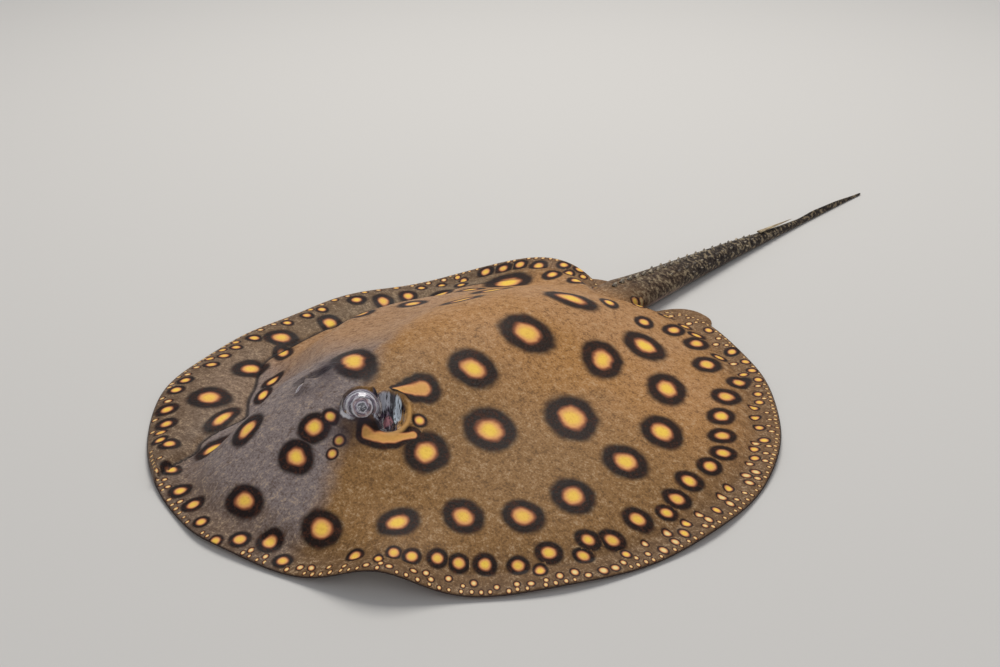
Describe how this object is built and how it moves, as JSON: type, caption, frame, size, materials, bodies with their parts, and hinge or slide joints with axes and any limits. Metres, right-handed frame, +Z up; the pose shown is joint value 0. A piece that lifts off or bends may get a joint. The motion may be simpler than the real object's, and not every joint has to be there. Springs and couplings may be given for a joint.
{
  "type": "freshwater stingray (ocellate river stingray), still life-size model",
  "caption": "Round spotted freshwater stingray lying flat on the floor, with raised eyes, a folded right fin margin, pelvic fins, a tapering tail and a sting.",
  "frame": {"origin": "on the floor under the centre of the disc", "axes": "+Z up; the snout points along -Y, the tail along +Y, and the animal's left side is +X"},
  "size_m": [0.3931, 0.7578, 0.065],
  "materials": {
    "skin": "wet skin, golden brown with black-ringed orange spots",
    "eye": "clear cornea over a grey iris",
    "sting": "bone-hard spine, pale horn colour"
  },
  "bodies": {
    "root": {"head": "skin", "trunk": "skin", "fin_pectoral_left_front": "skin", "fin_pectoral_left_rear": "skin", "fin_pectoral_right_front": "skin", "fin_pectoral_right_rear": "skin", "fin_pelvic_left": "skin", "fin_pelvic_right": "skin", "tail_base": "skin", "tail_mid": "skin", "tail_tip": "skin", "sting": "sting", "eye_left": "eye", "eye_right": "eye"}
  },
  "joints": []
}
